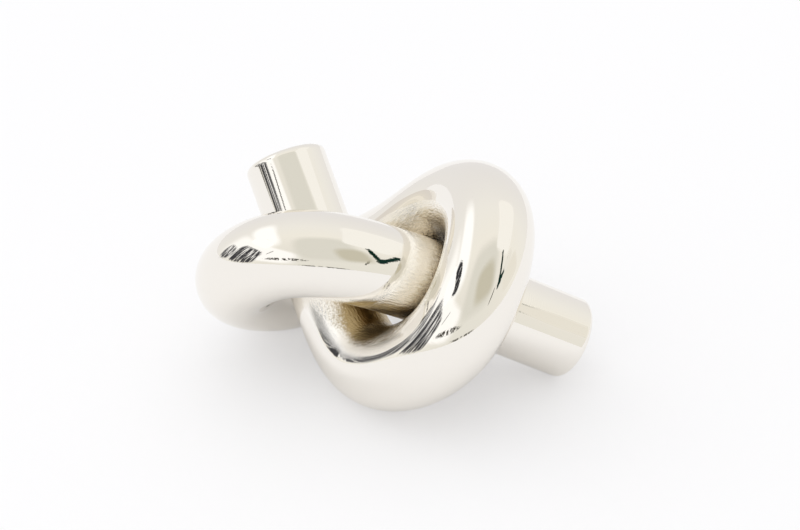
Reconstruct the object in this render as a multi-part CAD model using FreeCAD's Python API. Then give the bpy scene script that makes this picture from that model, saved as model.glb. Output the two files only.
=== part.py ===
# Metal knot sculpture: one thick round rod tied in an open overhand knot, its two ends left as
# straight stubs. A closed knot can't leave a mould in one piece, so it is five castings butted
# end to end. At each joint both castings are turned down to a nose, a dowel lines the noses up,
# and a weld fills the ring between the shoulders, dressed flush with the rod.
# Millimetres, +Z up. The knot lies on the table, z = 0, on its front arm, on the underside of its
# left loop and on the rim of its front end. The origin is under the middle of its bounding box.

import FreeCAD
import Part
import math
import os

from FreeCAD import Vector

os.makedirs("parts", exist_ok=True)

# ---- Driving sizes ----
rod_dia = 40.0          # the rod that the knot is tied in
strand_gap = 0.5        # least daylight between strands that cross
rear_stub = 33.0        # straight length of the rear end, behind the first bend
end_edge = 3.5          # rounding round both end faces

weld_depth = 3.0        # from the rod's surface down to the noses
weld_width = 5.0        # from one casting's shoulder to the other's

dowel_dia = 12.0        # the pin inside each joint
dowel_length = 36.0     # half of it in each casting
dowel_bevel = 1.0       # on both ends of a dowel
dowel_fit = 0.1         # how much wider the bores are than the dowels
bore_relief = 1.0       # space left past each end of a dowel

# The rod's middle line is one smooth curve drawn by these hand-set corners: x to the right, y to
# the back, z up from the height at which the rod lies on the table, all in strand pitches. A
# pitch is the least distance between the middles of two strands, the rod and its gap. The knot
# starts at its rear stub, dives under the left loop, swings out as the front arm, climbs the
# right loop, drops back under, turns round the left loop and comes over everything to the front.
route = [
    (-1.04, 0.70, 1.14),    # rear stub ends
    (-0.67, 0.06, 0.35),    # under the left loop
    (-0.31, -0.66, -0.25),
    (0.74, -1.51, 0.76),    # front arm
    (1.22, -0.43, 1.91),    # right loop
    (0.78, 0.74, 1.49),     # top of the right loop
    (0.20, 0.77, 0.90),
    (-0.34, 1.30, 0.29),    # behind everything
    (-1.35, 1.05, -0.21),
    (-2.11, 0.11, 0.61),    # left loop turns
    (-1.27, -0.49, 1.49),
    (-0.38, -0.46, 1.30),   # over the other strands
    (0.40, -0.17, 0.82),    # dives under the right loop
    (1.28, -0.09, 0.36),    # front stub starts
]
straight_lead = 0.4     # share of the first and last legs that stays in line with its stub

# Joints, in spans of the curve counted from the rear stub
joints = {"rear": 0.5, "top": 5.0, "back": 7.0, "front": 12.5}

rod_radius = rod_dia / 2
nose_radius = rod_radius - weld_depth
strand_pitch = rod_dia + strand_gap
curve_degree = 3


def place(corner):
    # A corner of the route in millimetres
    x, y, z = corner
    return Vector(x * strand_pitch, y * strand_pitch, rod_radius + z * strand_pitch)


def knot_curve():
    # Smooth curve over evenly counted spans, with both ends held in line with their stubs
    corners = [place(corner) for corner in route]
    first_lead = corners[0] + (corners[1] - corners[0]) * straight_lead
    last_lead = corners[-1] + (corners[-2] - corners[-1]) * straight_lead
    poles = [corners[0], first_lead] + corners[1:-1] + [last_lead, corners[-1]]
    spans = len(poles) - curve_degree
    end_count = [curve_degree + 1]
    counts = end_count + [1] * (spans - 1) + end_count
    smooth = Part.BSplineCurve()
    smooth.buildFromPolesMultsKnots(poles, counts, list(range(spans + 1)), False, curve_degree)
    return smooth


curve = knot_curve()
first_span = curve.FirstParameter
last_span = curve.LastParameter


def heading(span):
    # Unit direction of the rod at a place on the curve
    return curve.tangent(span)[0]


def shoulder(span, side):
    # Where a casting stops short of a joint, after it (1) or before it (-1): the rod is straight
    # through the weld. At the ends of the curve the rod runs on into its stub.
    gap = weld_width / 2 if span in joints.values() else 0
    return curve.value(span) + heading(span) * gap * side, heading(span)


def arc_toward(start, corner, stop):
    # The arc that leaves start toward a corner and reaches stop from it, both legs alike
    weight = (stop - start).Length / (corner - start).Length / 2
    middle = ((start + stop) / 2 + corner * weight) / (1 + weight)
    return Part.Arc(start, middle, stop).toShape()


def two_arcs(start, leaving, stop, arriving):
    # Two arcs that run on from each other between two points, in line with the rod at both
    across = stop - start
    run = across.dot(leaving + arriving)
    turn = 2 * (1 - leaving.dot(arriving))
    leg = across.dot(across) / (run + math.sqrt(run ** 2 + turn * across.dot(across)))
    first_corner = start + leaving * leg
    last_corner = stop - arriving * leg
    halfway = (first_corner + last_corner) / 2
    return [arc_toward(start, first_corner, halfway), arc_toward(halfway, last_corner, stop)]


def bent_rod(start, stop):
    # The rod from one joint or stub to the next, bent in true arcs, two to about a span
    steps = max(1, round(stop - start))
    inner = [start + (stop - start) * step / steps for step in range(1, steps)]
    stations = [shoulder(start, 1)] + [(curve.value(span), heading(span)) for span in inner]
    stations.append(shoulder(stop, -1))
    bends = []
    for station, following in zip(stations, stations[1:]):
        bends += two_arcs(*station, *following)
    section = Part.Circle(*stations[0], rod_radius)
    return Part.Wire(bends).makePipeShell([Part.Wire([section.toShape()])], True)


def nose(span, side):
    # The turned-down end of a casting, from its shoulder to the middle of the joint
    root, direction = shoulder(span, side)
    return Part.makeCylinder(nose_radius, weld_width / 2, root, direction * -side)


def stub(span, direction, length):
    # A straight end of the rod, the rim of its end face rounded
    root = curve.value(span)
    plain = Part.makeCylinder(rod_radius, length, root, direction)
    tip = root + direction * length
    rim = [edge for edge in plain.Edges if edge.Closed and edge.CenterOfMass.isEqual(tip, end_edge)]
    return plain.makeFillet(end_edge, rim)


def front_stub_length():
    # The front stub runs on down until the lower rim of its end lies on the table
    slope = heading(last_span).z
    level = math.sqrt(1 - slope ** 2)
    rim = (rod_radius - end_edge) * level + end_edge
    return end_edge + (rim - curve.value(last_span).z) / slope


def pin(diameter, length, span):
    # A straight pin centred on a joint along the rod, both of its ends bevelled
    radius = diameter / 2
    half = length / 2
    outline = [(0, -half), (radius - dowel_bevel, -half), (radius, dowel_bevel - half)]
    outline += [(radius, half - dowel_bevel), (radius - dowel_bevel, half), (0, half), (0, -half)]
    side = Part.makePolygon([Vector(across, 0, along) for across, along in outline])
    solid = Part.Face(side).revolve(Vector(0, 0, 0), Vector(0, 0, 1), 360)
    turn = FreeCAD.Rotation(Vector(0, 0, 1), heading(span))
    return solid.transformed(FreeCAD.Placement(curve.value(span), turn).toMatrix())


def dowel(span):
    return pin(dowel_dia, dowel_length, span)


def bores(span):
    # The blind bores of both castings in one, wider and deeper than the dowel
    return pin(dowel_dia + dowel_fit, dowel_length + 2 * bore_relief, span)


def weld(span):
    # Fills the ring between the shoulders, round the noses
    root, direction = shoulder(span, -1)
    full = Part.makeCylinder(rod_radius, weld_width, root, direction)
    return full.cut(Part.makeCylinder(nose_radius, weld_width, root, direction))


def casting(start, stop):
    # A bent stretch of the rod with a stub or a bored nose at each end
    rear = nose(start, 1) if start in joints.values() else stub(start, heading(start) * -1, rear_stub)
    front = nose(stop, -1) if stop in joints.values() else stub(stop, heading(stop), front_stub_length())
    body = bent_rod(start, stop).fuse([rear, front])
    return body.cut([bores(span) for span in (start, stop) if span in joints.values()]).removeSplitter()


nodes = {
    "rear_end": casting(first_span, joints["rear"]),
    "right_loop": casting(joints["rear"], joints["top"]),
    "back_strand": casting(joints["top"], joints["back"]),
    "left_loop": casting(joints["back"], joints["front"]),
    "front_end": casting(joints["front"], last_span),
}
for name, span in joints.items():
    nodes[name + "_dowel"] = dowel(span)
    nodes[name + "_weld"] = weld(span)

for name, shape in nodes.items():
    solids = shape.Solids
    solids[0].exportStep("parts/" + name + ".step")
    print(name, len(solids), "solid", round(shape.Volume / 1000, 2), "cm3", shape.isValid())
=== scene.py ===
import math
import bmesh
import bpy
import numpy as np
from mathutils import Matrix, Vector


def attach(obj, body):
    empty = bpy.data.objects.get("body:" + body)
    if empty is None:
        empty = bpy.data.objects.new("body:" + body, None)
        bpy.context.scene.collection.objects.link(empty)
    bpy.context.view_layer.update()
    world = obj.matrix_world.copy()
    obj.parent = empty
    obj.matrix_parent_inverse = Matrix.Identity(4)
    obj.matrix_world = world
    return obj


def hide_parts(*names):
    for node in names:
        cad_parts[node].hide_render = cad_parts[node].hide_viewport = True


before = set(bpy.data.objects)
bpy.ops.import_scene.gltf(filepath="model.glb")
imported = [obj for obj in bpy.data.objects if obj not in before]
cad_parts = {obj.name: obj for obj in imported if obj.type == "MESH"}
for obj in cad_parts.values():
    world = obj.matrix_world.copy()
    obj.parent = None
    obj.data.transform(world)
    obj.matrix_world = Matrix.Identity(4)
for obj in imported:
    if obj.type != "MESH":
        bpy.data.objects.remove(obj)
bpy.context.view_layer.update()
mm = 0.001
tiny = 0.001 * mm            # points nearer than this are one point
root = "root"


# An sRGB hex color as linear values.
def toLinear(code):
    parts = [int(code[i:i + 2], 16) / 255 for i in (0, 2, 4)]
    return [c / 12.92 if c <= 0.04045 else ((c + 0.055) / 1.055) ** 2.4 for c in parts]


# Settings are the node's own properties or its sockets' values, and links lead to its sockets.
def addNode(tree, kind, settings=None, links=None):
    node = tree.nodes.new(kind)
    for name, value in (settings or {}).items():
        if isinstance(name, str) and hasattr(node, name):
            setattr(node, name, value)
        else:
            node.inputs[name].default_value = value
    for name, source in (links or {}).items():
        tree.links.new(source, node.inputs[name])
    return node


def newMaterial(name):
    material = bpy.data.materials.new(name)
    material.use_nodes = True
    material.node_tree.nodes.clear()
    return material, material.node_tree


# The photograph's viewing angle.
camera = {
    "place": (0.0029760, -0.5381461, 0.3908917),
    "pitch": 58.2913,        # degrees up from straight down
    "lens": 60.723,          # mm
    "sensor": 36,            # mm wide
}
lensData = bpy.data.cameras.new("photoCamera")
lensData.sensor_width = camera["sensor"]
lensData.lens = camera["lens"]
cameraObject = bpy.data.objects.new("photoCamera", lensData)
cameraObject.location = camera["place"]
cameraObject.rotation_euler = (math.radians(camera["pitch"]), 0, 0)
bpy.context.scene.collection.objects.link(cameraObject)
bpy.context.scene.camera = cameraObject
bpy.context.scene.view_settings.view_transform = "Standard"
print("camera placed")

# The rod's route, as the casting patterns have it. Corners are in pitches, with z = 0 one radius up.
rod = {
    "radius": 19.96 * mm,
    "shift": (0.010 * mm, 0.12 * mm, -0.038 * mm),   # keeps the smooth route inside the CAD's route of arcs
    "lift": 20 * mm,         # of the corners' z = 0 above the table
    "pitch": 40.5 * mm,      # one strand and the gap beside it
    "rearStub": 33 * mm,
    "frontStub": 39.1126 * mm,
    "endEdge": 3.5 * mm,     # rounding of both cut ends
    "lead": 0.4,             # how much of the first and last leg stays straight
    "stepsPerSpan": 60,
    "edgeSteps": 16,         # round each rounded edge
    "stubSteps": 16,         # along each stub
    "sides": 160,
    "corners": [(-1.04, 0.70, 1.14), (-0.67, 0.06, 0.35), (-0.31, -0.66, -0.25), (0.74, -1.51, 0.76),
                (1.22, -0.43, 1.91), (0.78, 0.74, 1.49), (0.20, 0.77, 0.90), (-0.34, 1.30, 0.29),
                (-1.35, 1.05, -0.21), (-2.11, 0.11, 0.61), (-1.27, -0.49, 1.49), (-0.38, -0.46, 1.30),
                (0.40, -0.17, 0.82), (1.28, -0.09, 0.36)],
}
joints = {"rear": 0.5, "top": 5.0, "back": 7.0, "front": 12.5}   # in spans from the rear stub
joint = {
    "weldWidth": 5 * mm,
    "noseRadius": 17 * mm,
    "boreRadius": 6.05 * mm,
    "boreDepth": 19 * mm,
}


# Points along the middle of the rod, without its straight stubs.
def rodLine():
    lift = Vector((0, 0, rod["lift"])) + Vector(rod["shift"])
    points = [Vector(corner) * rod["pitch"] + lift for corner in rod["corners"]]
    points.insert(1, points[0].lerp(points[1], rod["lead"]))
    points.insert(-1, points[-1].lerp(points[-2], rod["lead"]))
    curve = bpy.data.curves.new("rodLine", "CURVE")
    curve.dimensions = "3D"
    spline = curve.splines.new("NURBS")
    spline.points.add(len(points) - 1)
    for pole, point in zip(spline.points, points):
        pole.co = (*point, 1)
    spline.order_u = 4       # cubic
    spline.use_endpoint_u = True
    spans = len(points) - 3
    spline.resolution_u = rod["stepsPerSpan"] * spans // (len(points) - 1)
    holder = bpy.data.objects.new("rodLine", curve)
    bpy.context.scene.collection.objects.link(holder)
    line = bpy.data.meshes.new_from_object(holder)
    places = [v.co.copy() for v in line.vertices]
    bpy.data.objects.remove(holder)
    bpy.data.curves.remove(curve)
    bpy.data.meshes.remove(line)
    first = (points[0] - points[1]).normalized()
    last = (points[-1] - points[-2]).normalized()
    return places, first, last


# A matrix at each step: its place on the rod, and its Z along the rod, with no twist between steps.
def rodFrames():
    places, first, last = rodLine()
    headings = [-first] + [(b - a).normalized() for a, b in zip(places, places[2:])] + [last]
    places = [places[0] + first * rod["rearStub"]] + places + [places[-1] + last * rod["frontStub"]]
    headings = [-first] + headings + [last]
    turn = Vector((0, 0, 1)).rotation_difference(headings[0])
    frames = []
    for i, (place, heading) in enumerate(zip(places, headings)):
        if i:
            turn = headings[i - 1].rotation_difference(heading) @ turn
        frames.append(Matrix.LocRotScale(place, turn, None))
    along = [0.0]
    for a, b in zip(places, places[1:]):
        along.append(along[-1] + (b - a).length)
    return frames, along


frames, along = rodFrames()
print("rod line has", len(frames), "steps and is", round(along[-1] / mm, 1), "mm long")


# Castings and welds are each one ring of vertices, grown from station to station. A station is a matrix,
# a radius, a distance along the rod, and how far the face leans toward the end (None inside a joint).
def sideStations(first, last):
    return [(frames[i], rod["radius"], along[i], 0.0) for i in range(first, last + 1)]


# From the middle of a cut end, over its rounded edge, and along the straight stub.
def stubStations(end):
    edge = rod["endEdge"]
    inward = 1 if end == 0 else -1
    length = rod["rearStub"] if end == 0 else rod["frontStub"]
    made = []
    for k in range(rod["edgeSteps"] + 1):
        lean = math.pi / 2 * (1 - k / rod["edgeSteps"])
        depth = edge * (1 - math.sin(lean))
        radius = rod["radius"] - edge + edge * math.cos(lean)
        made.append((depth, radius, -inward * lean))
    for k in range(1, rod["stubSteps"]):
        made.append((edge + (length - edge) * k / rod["stubSteps"], rod["radius"], 0.0))
    return [(frames[end] @ Matrix.Translation((0, 0, inward * depth)), radius,
             along[end] + inward * depth, lean) for depth, radius, lean in made]


# The steps at a joint's two shoulders and at its middle.
def jointSteps(name):
    middle = 1 + round(joints[name] * rod["stepsPerSpan"])
    half = joint["weldWidth"] / 2
    low = min(range(len(along)), key=lambda i: abs(along[i] - along[middle] + half))
    high = min(range(len(along)), key=lambda i: abs(along[i] - along[middle] - half))
    return low, middle, high


# From a joint's shoulder inward: the nose that the weld lies round, its face, and the dowel's bore.
def noseStations(name, side):
    low, middle, high = jointSteps(name)
    shoulder = low if side < 0 else high
    bottom = frames[middle] @ Matrix.Translation((0, 0, side * joint["boreDepth"]))
    return [(frames[shoulder], joint["noseRadius"], along[shoulder], None),
            (frames[middle], joint["noseRadius"], along[middle], None),
            (frames[middle], joint["boreRadius"], along[middle], None),
            (bottom, joint["boreRadius"], along[middle], None)]


def growShell(name, stations, closed=True):
    shell = bmesh.new()
    straightRod = shell.verts.layers.float_vector.new("straightRod")
    skinNormal = shell.verts.layers.float_vector.new("skinNormal")
    ring, edges, faces, previous, skinned = [], [], [], None, False
    for station, radius, distance, lean in stations:
        here = station @ Matrix.Diagonal((radius, radius, 1, 1))
        if previous is None:
            ring = bmesh.ops.create_circle(shell, radius=1, segments=rod["sides"], matrix=here)["verts"]
            edges = list(shell.edges)
        else:
            grown = bmesh.ops.extrude_edge_only(shell, edges=edges)["geom"]
            ring = [g for g in grown if isinstance(g, bmesh.types.BMVert)]
            fresh = set(ring)
            edges = [g for g in grown if isinstance(g, bmesh.types.BMEdge) and set(g.verts) <= fresh]
            faces = [g for g in grown if isinstance(g, bmesh.types.BMFace)]
            bmesh.ops.transform(shell, matrix=here @ previous.inverted(), verts=ring)
            for face in faces:
                face.smooth = skinned and lean is not None
        back = here.inverted()
        for vert in ring:
            flat = back @ vert.co
            radial = Vector((flat.x, flat.y, 0))
            vert[straightRod] = Vector((distance, flat.x * radius, flat.y * radius)) / mm
            if lean is not None:
                outward = radial * math.cos(lean) + Vector((0, 0, math.sin(lean)))
                vert[skinNormal] = station.to_3x3() @ outward
        previous, skinned = here, lean is not None
    if closed:
        bmesh.ops.holes_fill(shell, edges=[e for e in shell.edges if e.is_boundary])
    else:
        bmesh.ops.remove_doubles(shell, verts=[v for v in shell.verts if v.is_boundary], dist=tiny)
    bmesh.ops.recalc_face_normals(shell, faces=shell.faces)
    mesh = bpy.data.meshes.new(name)
    shell.to_mesh(mesh)
    shell.free()
    piece = bpy.data.objects.new(name, mesh)
    bpy.context.scene.collection.objects.link(piece)
    return piece


def readVectors(mesh, name):
    values = np.empty(len(mesh.vertices) * 3, np.float32)
    mesh.attributes[name].data.foreach_get("vector", values)
    return values.reshape(-1, 3)


# The rod's face is round, so its shading takes the true direction out from the middle of the rod.
def exactNormals(piece):
    mesh = piece.data
    skin = readVectors(mesh, "skinNormal")
    corner = np.empty(len(mesh.loops), np.int32)
    mesh.loops.foreach_get("vertex_index", corner)
    smooth = np.repeat([p.use_smooth for p in mesh.polygons], [p.loop_total for p in mesh.polygons])
    mesh.normals_split_custom_set((skin[corner] * smooth[:, None]).tolist())


wheel = {                    # the polishing wheel reaches everything but the knot's middle, where the strands also shade each other
    "middle": (2 * mm, -16 * mm, 56 * mm),
    "reachesIn": 52 * mm,    # to this far from the middle
    "fade": 12 * mm,
    "nextStrand": 3 * rod["radius"],     # farther off than this along the rod is another strand
    "everySteps": 6,         # steps of the rod taken together
    "heights": {             # crevices that begin at the first height and are full at the second
        "lowCrevice": (56 * mm, 40 * mm),
        "armCrevice": (62 * mm, 52 * mm),
    },
}


# How much a point is covered by other strands: 0 in the open, and over 1 deep in a crotch. The plate's
# painted shade darkens with it.
def markCrevices(piece):
    mesh = piece.data
    skin = readVectors(mesh, "skinNormal")
    places = np.empty(len(mesh.vertices) * 3, np.float32)
    mesh.vertices.foreach_get("co", places)
    places = places.reshape(-1, 3)
    distance = readVectors(mesh, "straightRod")[:, 0] * mm
    cover = np.zeros(len(places), np.float32)
    every = wheel["everySteps"]
    for i in range(0, len(frames) - every, every):
        length = along[i + every] - along[i]
        away = np.array((frames[i].translation + frames[i + every].translation) / 2) - places
        reach = np.maximum(np.linalg.norm(away, axis=1), rod["radius"])
        facing = np.clip((away * skin).sum(1) / reach, 0, 1)
        other = np.abs(distance - along[i]) > wheel["nextStrand"]
        cover += facing * other * 2 * rod["radius"] * length / (math.pi * reach ** 2)
    outward = np.linalg.norm(places - np.array(wheel["middle"]), axis=1)
    cover *= np.clip((wheel["reachesIn"] - outward) / wheel["fade"], 0, 1)
    shares = {"crevice": cover}
    for name, (top, bottom) in wheel["heights"].items():
        shares[name] = cover * np.clip((top - places[:, 2]) / (top - bottom), 0, 1)
    for name, values in shares.items():
        layer = mesh.attributes.new(name, "FLOAT", "POINT")
        layer.data.foreach_set("value", values.astype(np.float32))


castings = {
    "rearEndCasting": ("rear_end", None, "rear"),
    "rightLoopCasting": ("right_loop", "rear", "top"),
    "backStrandCasting": ("back_strand", "top", "back"),
    "leftLoopCasting": ("left_loop", "back", "front"),
    "frontEndCasting": ("front_end", "front", None),
}


def makeCasting(name, start, stop):
    first = jointSteps(start)[2] if start else 1
    last = jointSteps(stop)[0] if stop else len(frames) - 2
    opening = noseStations(start, 1)[::-1] if start else stubStations(0)
    closing = noseStations(stop, -1) if stop else stubStations(len(frames) - 1)[::-1]
    return growShell(name, opening + sideStations(first, last) + closing)


def makeWeld(name, at):
    low, middle, high = jointSteps(at)
    inner = [(frames[i], joint["noseRadius"], along[i], None) for i in (high, middle, low)]
    return growShell(name, inner + sideStations(low, high) + inner[:1], closed=False)


pieces = []
for name, (node, start, stop) in castings.items():
    piece = makeCasting(name, start, stop)
    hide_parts(node)
    pieces.append(piece)
for at in joints:
    piece = makeWeld(at + "Weld", at)
    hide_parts(at + "_weld")
    pieces.append(piece)
for piece in pieces:
    exactNormals(piece)
    markCrevices(piece)
    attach(piece, root)
    print(piece.name, "has", len(piece.data.polygons), "faces")


nickel = {
    "fresh": "f3efe8",       # warm white of polished nickel
    "satinPaintedLight": "fefbf5",       # the plate left matt between the strands, its colour painted lighter than the polished plate as painted light
    "filmAndPaintedShade": "efe7d8",        # thin yellowish film deeper in, and painted shade that deepens with the other strands' cover
    "brownAndPaintedShade": "b09c74",       # thick brown film low down, and painted shade low between the strands
    "pitsAndPaintedShade": "3a2a17",        # dirt in the pits, closing up into painted shade beside the contacts
    "polished": 0.025,       # roughness where the wheel has been
    "matt": 0.27,            # and where it can't reach
    "zones": {               # how much other strands cover, where each zone begins and where it is full
        "matt": ("crevice", 0.33, 0.38),
        "dull": ("armCrevice", 0.14, 0.24),
        "filmAndPaintedShade": ("crevice", 0.34, 1.10),
        "brownAndPaintedShade": ("lowCrevice", 0.20, 0.70),
        "pitsAndPaintedShade": ("crevice", 0.00, 2.80),
    },
    "marks": {               # mm from mark to mark, along the rod and round it, drawn coarse enough to show
        "wheel": (0.9, 18.0),    # lines of a wheel, on real metal about 0.05 mm apart: too fine to show
        "grain": (4.0, 0.9),     # strokes of emery, on real metal about 0.2 mm apart: too fine to show
        "specks": (1.0, 0.8),    # pits of a casting, on real metal about 0.3 mm across: too fine to show
    },
    "breaks": {              # which marks break a zone up, and between which sums of the two
        "filmAndPaintedShade": ("grain", 0.80, 1.16),
        "brownAndPaintedShade": ("specks", 0.75, 1.20),
        "pitsAndPaintedShade": ("specks", 1.04, 1.08),
    },
    "wheelDepth": 0.007 * mm,
    "grainDepth": 0.34 * mm,     # deeper than real strokes, as they are drawn coarser
}
mixA, mixB, mixResult = 6, 7, 2      # where a Mix node has its color sockets


# Nickel-plated cast aluminium, wheel polished: a warm mirror whose reflections have slightly toothed
# edges from very fine marks round the rod. It turns satin where the strands stop the wheel, and its colour
# there is painted lighter as painted light. Deeper in, a yellowish film, a brown film low down and dark pits
# darken it: real tarnish, with painted shade where the other strands cover it.
def nickelPlate():
    material, tree = newMaterial("nickelPlatePolished")
    straight = addNode(tree, "ShaderNodeAttribute", {"attribute_name": "straightRod"})
    marks, zones = {}, {}
    for name, (lengthwise, around) in nickel["marks"].items():
        space = addNode(tree, "ShaderNodeMapping", {"Scale": (1 / lengthwise, 1 / around, 1 / around)},
                        {"Vector": straight.outputs["Vector"]})
        noise = addNode(tree, "ShaderNodeTexNoise", {"Scale": 1.0, "Detail": 2.0},
                        {"Vector": space.outputs["Vector"]})
        marks[name] = noise.outputs["Fac"]
    for name, (attribute, start, full) in nickel["zones"].items():
        share = addNode(tree, "ShaderNodeAttribute", {"attribute_name": attribute})
        zone = addNode(tree, "ShaderNodeMapRange",
                       {"From Min": start, "From Max": full, "interpolation_type": "SMOOTHSTEP"},
                       {"Value": share.outputs["Fac"]})
        zones[name] = zone.outputs["Result"]
    unpolished = addNode(tree, "ShaderNodeMath", {"operation": "MAXIMUM"},
                         {0: zones["matt"], 1: zones["dull"]})
    zones["satinPaintedLight"] = unpolished.outputs[0]
    for name, (mark, start, full) in nickel["breaks"].items():
        total = addNode(tree, "ShaderNodeMath", {"operation": "ADD"}, {0: zones[name], 1: marks[mark]})
        part = addNode(tree, "ShaderNodeMapRange", {"From Min": start, "From Max": full},
                       {"Value": total.outputs[0]})
        zones[name] = part.outputs["Result"]
    bare = addNode(tree, "ShaderNodeRGB")
    bare.outputs[0].default_value = (*toLinear(nickel["fresh"]), 1)
    color = bare.outputs[0]
    # The satin colour is painted lighter; the film, brown and pit colours darken the plate as other strands
    # cover it, painted shade over real tarnish.
    for name in ("satinPaintedLight", "filmAndPaintedShade", "brownAndPaintedShade", "pitsAndPaintedShade"):
        mix = addNode(tree, "ShaderNodeMix", {"data_type": "RGBA"}, {"Factor": zones[name]})
        mix.inputs[mixB].default_value = (*toLinear(nickel[name]), 1)
        tree.links.new(color, mix.inputs[mixA])
        color = mix.outputs[mixResult]
    rough = addNode(tree, "ShaderNodeMapRange",
                    {"To Min": nickel["polished"], "To Max": nickel["matt"]}, {"Value": zones["satinPaintedLight"]})
    wheelMarks = addNode(tree, "ShaderNodeBump", {"Distance": nickel["wheelDepth"]},
                         {"Height": marks["wheel"]})
    grain = addNode(tree, "ShaderNodeBump", {"Distance": nickel["grainDepth"]},
                    {"Height": marks["grain"], "Normal": wheelMarks.outputs["Normal"],
                     "Strength": zones["matt"]})
    metal = addNode(tree, "ShaderNodeBsdfPrincipled", {"Metallic": 1.0},
                    {"Base Color": color, "Roughness": rough.outputs["Result"],
                     "Normal": grain.outputs["Normal"]})
    addNode(tree, "ShaderNodeOutputMaterial", None, {"Surface": metal.outputs["BSDF"]})
    return material


plate = nickelPlate()
for piece in pieces:
    piece.data.materials.append(plate)
print("nickel plate made")

steel = {
    "color": "c4c5c6",
    "roughness": 0.3,
    "uneven": 0.08,          # how far the grit's marks take the roughness up and down
    "gritWidth": 0.08 * mm,
}


# Ground steel dowel, evenly grey with fine grit marks. It is inside the joint and never seen.
def dowelSteel():
    material, tree = newMaterial("dowelSteelGround")
    place = addNode(tree, "ShaderNodeTexCoord")
    grit = addNode(tree, "ShaderNodeTexNoise", {"Scale": 1 / steel["gritWidth"], "Detail": 2.0},
                   {"Vector": place.outputs["Object"]})
    rough = addNode(tree, "ShaderNodeMapRange",
                    {"To Min": steel["roughness"] - steel["uneven"],
                     "To Max": steel["roughness"] + steel["uneven"]}, {"Value": grit.outputs["Fac"]})
    metal = addNode(tree, "ShaderNodeBsdfPrincipled",
                    {"Metallic": 1.0, "Base Color": (*toLinear(steel["color"]), 1)},
                    {"Roughness": rough.outputs["Result"]})
    addNode(tree, "ShaderNodeOutputMaterial", None, {"Surface": metal.outputs["BSDF"]})
    return material


ground = dowelSteel()
for at in joints:
    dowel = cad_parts[at + "_dowel"]
    for holder in dowel.material_slots:
        holder.material = ground
print("dowels painted")

# A white table in a pale room that is darker behind the camera, and cards for the metal to mirror.
studio = {
    "floor": "fafafa",
    "floorSize": 30.0,
    "floorDrop": 0.02 * mm,  # clear of the three points the knot rests on
    "fibreLength": 2.5 * mm,
    "fibreHeight": 0.01 * mm,
    "floorLift": 0.42,       # share of plain white in what the camera sees of the table
    "mirrorLift": 0.2,       # and in what the metal sees of it
    "room": "f9f9fa",        # lights the table
    "roomLevel": 0.48,
    "roomAbove": 0.95,       # how much more comes from straight above
    "roomLean": 0.3,         # and how much more from the left than from the middle
    "sides": {0.0: "eae9e2", 0.2: "eeece5", 0.42: "f5f3ec", 0.65: "f3f2ee", 1.0: "eae9ea"},
    "sidesLevel": 1.05,      # the metal sees these, from behind the camera (0) to in front of it (1)
    "seen": "fcfbfc",        # what the camera sees past the table
}
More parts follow.
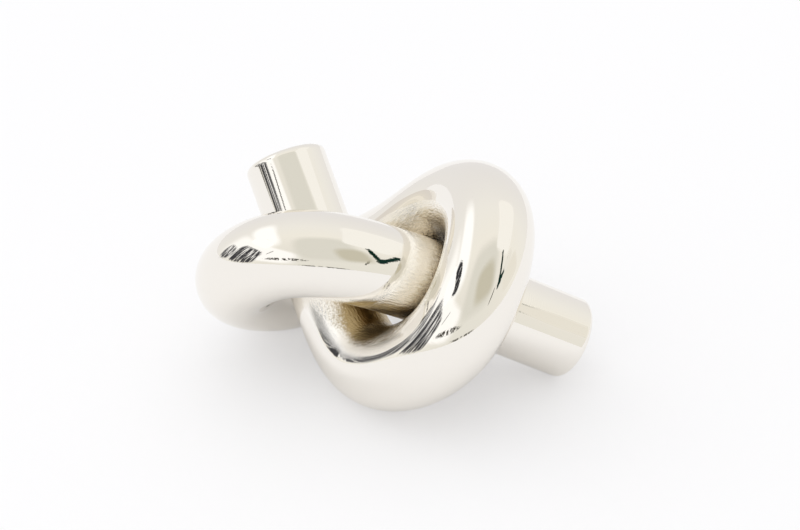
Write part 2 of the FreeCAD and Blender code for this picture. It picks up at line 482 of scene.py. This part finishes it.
# A direction is an angle round, 0 straight ahead of the camera and 90 to its right, and an angle above the
# table. A card runs from one direction to the other and is so many degrees wide.
cards = [
    {"name": "sideGlow", "from": (-166, 13), "to": (-58, 13), "wide": 34, "color": "ffffff", "level": 1.14,
     "soft": 0.3, "square": 5},
    {"name": "leftWindow", "from": (-130, 36), "to": (-42, 36), "wide": 28, "color": "fdfeff", "level": 1.2,
     "soft": 0.45, "square": 3},
    {"name": "backCloth", "from": (130, 38), "to": (-146, 38), "wide": 66, "color": "e5e4dc", "level": 1.0,
     "soft": 0.35, "square": 4},
    {"name": "creamPanel", "from": (44, 47), "to": (122, 47), "wide": 34, "color": "fffefa", "level": 1.02,
     "soft": 0.16, "square": 6},
    {"name": "barredDoor", "from": (-122, 12), "to": (-84, 13), "wide": 27, "color": "434347", "level": 1.0,
     "soft": 0.15, "square": 4, "ragged": 0.3, "cells": (26, 1.4), "slits": 0.405},
    {"name": "tallCase", "from": (-86, 10), "to": (-67, 7), "wide": 19, "color": "58585c", "level": 1.0,
     "soft": 0.3, "square": 3, "ragged": 0.4, "cells": (14, 1.4), "slits": 0.41},
    {"name": "darkArch", "from": (-119, 38), "to": (-85, 38), "wide": 12, "color": "38383b", "level": 1.0,
     "soft": 0.2, "square": 2, "ragged": 0.2, "cells": (14, 1), "slits": 0.34},
    {"name": "greenEdge", "from": (115, 48), "to": (131, 24), "wide": 4, "color": "0d2a20", "level": 1.0,
     "soft": 0.3, "square": 6, "ragged": 0.5, "cells": (7, 1)},
    {"name": "greenFoot", "from": (104, 33), "to": (132, 23), "wide": 4, "color": "14302a", "level": 1.0,
     "soft": 0.3, "square": 6, "ragged": 1.2, "cells": (13, 1)},
    {"name": "greenKnee", "from": (123, 29), "to": (134, 21), "wide": 6.5, "color": "14302a", "level": 1.0,
     "soft": 0.3, "square": 2, "ragged": 0.5, "cells": (5, 1)},
    {"name": "darkPost", "from": (-126, 20), "to": (-131, 30), "wide": 1.2, "color": "3a372f", "level": 1.0,
     "soft": 0.3, "square": 4},
    {"name": "darkHedge", "from": (-176, 14), "to": (-124, 11), "wide": 8, "color": "3c382f", "level": 1.0,
     "soft": 0.3, "square": 2, "ragged": 0.9, "cells": (18, 2), "slits": 0.45},
    {"name": "darkPole", "from": (136, 27), "to": (147, 14), "wide": 2, "color": "3a372f", "level": 1.0,
     "soft": 0.4, "square": 2, "ragged": 0.3, "cells": (4, 1)},
    {"name": "tableRim", "from": (-158, 1.5), "to": (157, 0.5), "wide": 3, "color": "4a473f", "level": 1.0,
     "soft": 0.4, "square": 4, "ragged": 0.4, "cells": (16, 1), "slits": 0.45},
    {"name": "whiteScreen", "from": (-121, 34), "to": (-88, 34), "wide": 13, "color": "fdfeff", "level": 1.2,
     "soft": 0.1, "square": 4, "distance": 0.318},     # hides the arch from the left loop only
    {"name": "paleScreen", "from": (98, 17), "to": (128, 17), "wide": 19, "color": "edeae1", "level": 1.05,
     "soft": 0.3, "square": 4, "distance": 0.31},      # hides the green edge from the front stub only
    {"name": "oliveCloth", "from": (136, 34), "to": (176, 34), "wide": 34, "color": "cfcbba", "level": 1.0,
     "soft": 0.5, "square": 3, "distance": 0.214},     # so close that only the right loop mirrors all of it
    {"name": "loopScreen", "from": (114, 30), "to": (129, 23.5), "wide": 5.5, "color": "eeece5",
     "level": 1.05, "soft": 0.3, "square": 4,
     "distance": 0.14},                                # hides the green foot from the right loop only
]
cardPlace = {
    "distance": 3.0,
    "apart": 0.05,           # a later card stands in front of an earlier one
    "height": 0.06,          # of the knot's middle, which the cards stand round
    "pieces": (32, 8),       # the card's flat parts, along and across
    "slitEdge": 0.06,        # softness of the slits, as a share of the pattern's height
}


# Matt white paper under plain light: it takes the knot's soft shadow and has no shine.
def floorPaper():
    material, tree = newMaterial("matWhitePaper")
    place = addNode(tree, "ShaderNodeTexCoord")
    fibres = addNode(tree, "ShaderNodeTexNoise", {"Scale": 1 / studio["fibreLength"], "Detail": 2.0},
                     {"Vector": place.outputs["Object"]})
    bump = addNode(tree, "ShaderNodeBump", {"Distance": studio["fibreHeight"]},
                   {"Height": fibres.outputs["Fac"]})
    paper = addNode(tree, "ShaderNodeBsdfDiffuse", {"Color": (*toLinear(studio["floor"]), 1)},
                    {"Normal": bump.outputs["Normal"]})
    white = addNode(tree, "ShaderNodeEmission", {"Color": (*toLinear(studio["seen"]), 1)})
    ray = addNode(tree, "ShaderNodeLightPath")
    mirrored = addNode(tree, "ShaderNodeMath", {"operation": "MULTIPLY", 1: studio["mirrorLift"]},
                       {0: ray.outputs["Is Glossy Ray"]})
    lift = addNode(tree, "ShaderNodeMath", {"operation": "MULTIPLY_ADD", 1: studio["floorLift"]},
                   {0: ray.outputs["Is Camera Ray"], 2: mirrored.outputs[0]})
    mixed = addNode(tree, "ShaderNodeMixShader", None,
                    {0: lift.outputs[0], 1: paper.outputs["BSDF"], 2: white.outputs[0]})
    addNode(tree, "ShaderNodeOutputMaterial", None, {"Surface": mixed.outputs[0]})
    return material


def makeFloor():
    sheet = bmesh.new()
    bmesh.ops.create_grid(sheet, x_segments=1, y_segments=1, size=studio["floorSize"] / 2)
    mesh = bpy.data.meshes.new("table")
    sheet.to_mesh(mesh)
    sheet.free()
    mesh.materials.append(floorPaper())
    table = bpy.data.objects.new("table", mesh)
    bpy.context.scene.collection.objects.link(table)
    table.location.z = -studio["floorDrop"]


# Plain glowing or dark card with a soft edge. "ragged" makes its outline uneven, and "slits" lets light
# through it, both from one pattern of so many cells along and across the card.
def cardPaint(card, order):
    material, tree = newMaterial(card["name"] + "Paint")
    place = addNode(tree, "ShaderNodeUVMap")
    wide = addNode(tree, "ShaderNodeVectorMath",
                   {"operation": "MULTIPLY_ADD", 1: (2, 2, 0), 2: (-1, -1, 0)}, {0: place.outputs["UV"]})
    size = addNode(tree, "ShaderNodeVectorMath", {"operation": "ABSOLUTE"}, {0: wide.outputs[0]})
    split = addNode(tree, "ShaderNodeSeparateXYZ", None, {0: size.outputs[0]})
    powers = [addNode(tree, "ShaderNodeMath", {"operation": "POWER", 1: card["square"]},
                      {0: split.outputs[k]}) for k in (0, 1)]
    total = addNode(tree, "ShaderNodeMath", {"operation": "ADD"},
                    {0: powers[0].outputs[0], 1: powers[1].outputs[0]})
    reach = addNode(tree, "ShaderNodeMath", {"operation": "POWER", 1: 1 / card["square"]},
                    {0: total.outputs[0]})
    cells = addNode(tree, "ShaderNodeMapping",
                    {"Scale": (*card.get("cells", (1, 1)), 1), "Location": (order, 0, 0)},
                    {"Vector": place.outputs["UV"]})
    uneven = addNode(tree, "ShaderNodeTexNoise", {"Scale": 1.0, "Detail": 3.0},
                     {"Vector": cells.outputs["Vector"]})
    ragged = card.get("ragged", 0)
    torn = addNode(tree, "ShaderNodeMath", {"operation": "MULTIPLY_ADD", 1: 2 * ragged, 2: -ragged},
                   {0: uneven.outputs["Fac"]})
    edge = addNode(tree, "ShaderNodeMath", {"operation": "ADD"}, {0: reach.outputs[0], 1: torn.outputs[0]})
    outline = addNode(tree, "ShaderNodeMapRange",
                      {"From Min": 1.0, "From Max": 1.0 - card["soft"], "interpolation_type": "SMOOTHSTEP"},
                      {"Value": edge.outputs[0]})
    lowest = card.get("slits", -1.0)     # by default so low that there are none
    slits = addNode(tree, "ShaderNodeMapRange",
                    {"From Min": lowest, "From Max": lowest + cardPlace["slitEdge"]},
                    {"Value": uneven.outputs["Fac"]})
    shown = addNode(tree, "ShaderNodeMath", {"operation": "MULTIPLY"},
                    {0: outline.outputs["Result"], 1: slits.outputs["Result"]})
    glow = addNode(tree, "ShaderNodeEmission",
                   {"Color": (*toLinear(card["color"]), 1), "Strength": card["level"]})
    clear = addNode(tree, "ShaderNodeBsdfTransparent")
    mixed = addNode(tree, "ShaderNodeMixShader", None,
                    {0: shown.outputs[0], 1: clear.outputs[0], 2: glow.outputs[0]})
    addNode(tree, "ShaderNodeOutputMaterial", None, {"Surface": mixed.outputs[0]})
    return material


def direction(az, el):
    az, el = math.radians(az), math.radians(el)
    return Vector((math.sin(az) * math.cos(el), math.cos(az) * math.cos(el), math.sin(el)))


# Each card is bent round the knot, so that its sizes in degrees hold all over it.
def makeCard(card, order):
    start, end = direction(*card["from"]), direction(*card["to"])
    away = (start + end).normalized()
    across = (end - start).normalized()
    up = away.cross(across)
    halfRun = start.angle(end) / 2
    halfWide = math.radians(card["wide"]) / 2
    distance = card.get("distance", cardPlace["distance"] - cardPlace["apart"] * order)
    sheet = bmesh.new()
    sheet.loops.layers.uv.new("UVMap")
    columns, rows = cardPlace["pieces"]
    bmesh.ops.create_grid(sheet, x_segments=columns, y_segments=rows, size=1, calc_uvs=True)
    for vert in sheet.verts:
        run, rise = vert.co.x * halfRun, vert.co.y * halfWide
        level = away * math.cos(run) + across * math.sin(run)
        vert.co = (level * math.cos(rise) + up * math.sin(rise)) * distance
        vert.co.z += cardPlace["height"]
    mesh = bpy.data.meshes.new(card["name"])
    sheet.to_mesh(mesh)
    sheet.free()
    mesh.materials.append(cardPaint(card, order))
    made = bpy.data.objects.new(card["name"], mesh)
    bpy.context.scene.collection.objects.link(made)
    made.visible_camera = False
    made.visible_diffuse = False
    made.visible_shadow = False


# The room lights the table evenly, shows the metal its sides, and is plain white to the camera.
def makeRoom():
    world = bpy.data.worlds.new("room")
    bpy.context.scene.world = world
    world.use_nodes = True
    tree = world.node_tree
    tree.nodes.clear()
    place = addNode(tree, "ShaderNodeTexCoord")
    split = addNode(tree, "ShaderNodeSeparateXYZ", None, {0: place.outputs["Generated"]})
    depth = addNode(tree, "ShaderNodeMapRange", {"From Min": -1.0}, {"Value": split.outputs["Y"]})
    sides = addNode(tree, "ShaderNodeValToRGB", None, {"Fac": depth.outputs["Result"]})
    ramp = sides.color_ramp
    while len(ramp.elements) < len(studio["sides"]):
        ramp.elements.new(0.5)           # placed below
    for stop, (where, code) in zip(ramp.elements, studio["sides"].items()):
        stop.position = where
        stop.color = (*toLinear(code), 1)
    fromLeft = addNode(tree, "ShaderNodeMath", {"operation": "MULTIPLY_ADD", 1: -studio["roomLean"],
                                                2: studio["roomLevel"]}, {0: split.outputs["X"]})
    fromAbove = addNode(tree, "ShaderNodeMath", {"operation": "MULTIPLY_ADD", 1: studio["roomAbove"]},
                        {0: split.outputs["Z"], 2: fromLeft.outputs[0]})
    light = addNode(tree, "ShaderNodeBackground", {"Color": (*toLinear(studio["room"]), 1)},
                    {"Strength": fromAbove.outputs[0]})
    mirrored = addNode(tree, "ShaderNodeBackground", {"Strength": studio["sidesLevel"]},
                       {"Color": sides.outputs["Color"]})
    seen = addNode(tree, "ShaderNodeBackground", {"Color": (*toLinear(studio["seen"]), 1)})
    ray = addNode(tree, "ShaderNodeLightPath")
    indoors = addNode(tree, "ShaderNodeMixShader", None,
                      {0: ray.outputs["Is Glossy Ray"], 1: light.outputs[0], 2: mirrored.outputs[0]})
    mixed = addNode(tree, "ShaderNodeMixShader", None,
                    {0: ray.outputs["Is Camera Ray"], 1: indoors.outputs[0], 2: seen.outputs[0]})
    addNode(tree, "ShaderNodeOutputWorld", None, {"Surface": mixed.outputs[0]})


makeFloor()
for order, card in enumerate(cards):
    makeCard(card, order)
makeRoom()
print("studio set")
